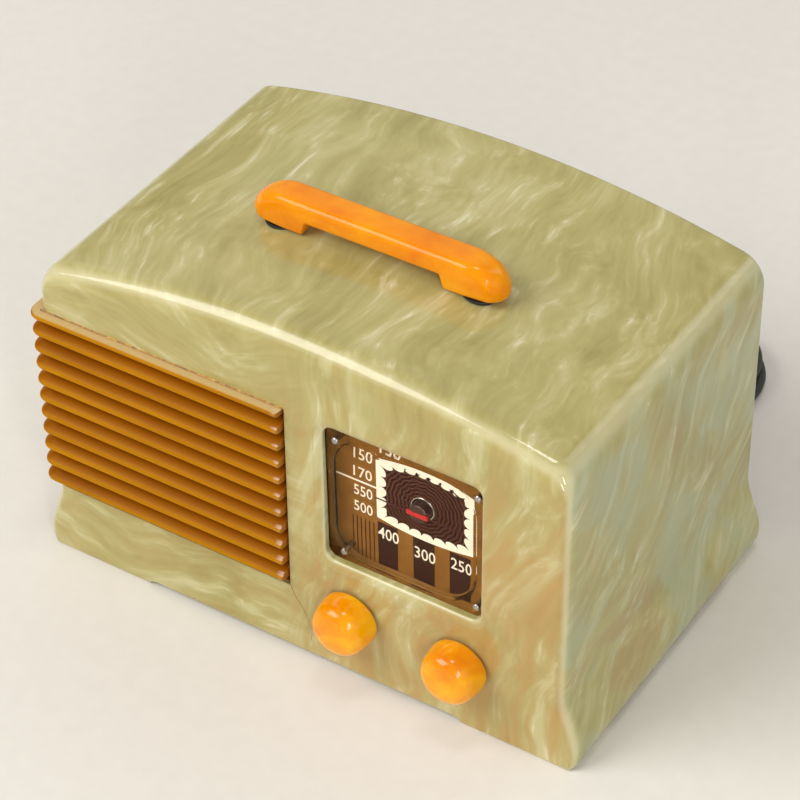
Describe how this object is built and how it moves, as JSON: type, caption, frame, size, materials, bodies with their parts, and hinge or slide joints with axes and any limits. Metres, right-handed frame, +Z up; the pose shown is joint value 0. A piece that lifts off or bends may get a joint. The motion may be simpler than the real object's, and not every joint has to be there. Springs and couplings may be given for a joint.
{
  "type": "table radio",
  "caption": "Table radio in a cast phenolic cabinet with a louvred grille, a square tuning dial, volume and tuning knobs, and a carrying handle.",
  "frame": {"origin": "on the surface that the radio stands on, under the middle of its box without the mains lead", "axes": "+X to the right seen from the front, +Y from front to back, +Z up"},
  "size_m": [0.2306, 0.2559, 0.1578],
  "materials": {
    "pale_phenolic": "polished, pale olive with cream and tan marbling",
    "amber_phenolic": "polished dark amber",
    "orange_phenolic": "polished orange amber",
    "clear_plastic": "clear pressed sheet",
    "printed_card": "brown card with a white printed scale",
    "red_lacquer": "red lacquer",
    "black_fibre": "matt black",
    "plated_steel": "plated sheet",
    "bright_brass": "bright",
    "sheet_aluminium": "satin",
    "speaker_cloth": "woven, brown",
    "cone_paper": "black paper",
    "iron_core": "dark grey",
    "brown_card": "pressed board",
    "brown_phenolic": "moulded dark brown",
    "tube_glass": "clear",
    "linen_thread": "twisted cord",
    "copper_wire": "varnished copper",
    "dark_rubber": "dark grey-green rubber"
  },
  "bodies": {
    "radio": {"antenna_loop": "copper_wire", "back_cover": "brown_card", "back_screw_1": "plated_steel", "back_screw_2": "plated_steel", "back_screw_3": "plated_steel", "back_screw_4": "plated_steel", "cabinet": "pale_phenolic", "chassis": "plated_steel", "chassis_screw_left": "plated_steel", "chassis_screw_right": "plated_steel", "cord_hank": "dark_rubber", "cord_tail": "dark_rubber", "cord_tie": "black_fibre", "dial_bracket": "plated_steel", "dial_cord": "linen_thread", "dial_lens": "clear_plastic", "dial_plate": "printed_card", "filter_capacitor": "brown_card", "gang_frame": "plated_steel", "gang_stator": "sheet_aluminium", "grille": "amber_phenolic", "grille_cloth": "speaker_cloth", "handle": "orange_phenolic", "handle_screw_left": "plated_steel", "handle_screw_right": "plated_steel", "handle_washer_left": "black_fibre", "handle_washer_right": "black_fibre", "if_can_1": "sheet_aluminium", "if_can_2": "sheet_aluminium", "lamp_bulb": "tube_glass", "lens_rivet_1": "bright_brass", "lens_rivet_2": "bright_brass", "lens_rivet_3": "bright_brass", "lens_rivet_4": "bright_brass", "mains_cord": "dark_rubber", "output_transformer": "iron_core", "plug": "brown_phenolic", "speaker_cone": "cone_paper", "speaker_frame": "plated_steel", "speaker_magnet": "iron_core", "strain_relief": "dark_rubber", "tube_base_1": "brown_phenolic", "tube_base_2": "brown_phenolic", "tube_base_3": "brown_phenolic", "tube_base_4": "brown_phenolic", "tube_base_5": "brown_phenolic", "tube_glass_1": "tube_glass", "tube_glass_2": "tube_glass", "tube_glass_3": "tube_glass", "tube_glass_4": "tube_glass", "tube_glass_5": "tube_glass", "volume_control": "plated_steel"},
    "volume": {"volume_knob": "orange_phenolic", "volume_shaft": "sheet_aluminium"},
    "tuning": {"tuning_knob": "orange_phenolic", "tuning_shaft": "sheet_aluminium"},
    "dial_drive": {"gang_rotor": "sheet_aluminium", "tuning_drum": "bright_brass", "pointer": "red_lacquer"}
  },
  "joints": [
    {"name": "volume_turn", "type": "hinge", "parent": "radio", "child": "volume", "pos_m": [0.0227, -0.0639, 0.0298], "axis": [0, 1, 0], "range_deg": [0, 300]},
    {"name": "dial_turn", "type": "hinge", "parent": "radio", "child": "dial_drive", "pos_m": [0.0472, -0.0549, 0.0854], "axis": [0, -1, 0], "range_deg": [0, 180]},
    {"name": "tuning_turn", "type": "hinge", "parent": "radio", "child": "tuning", "pos_m": [0.0679, -0.0639, 0.0298], "axis": [0, -1, 0], "range_deg": [0, 1080]}
  ],
  "couplings": [
    {"joint": "tuning_turn", "follows": "dial_turn", "ratio": 6}
  ]
}
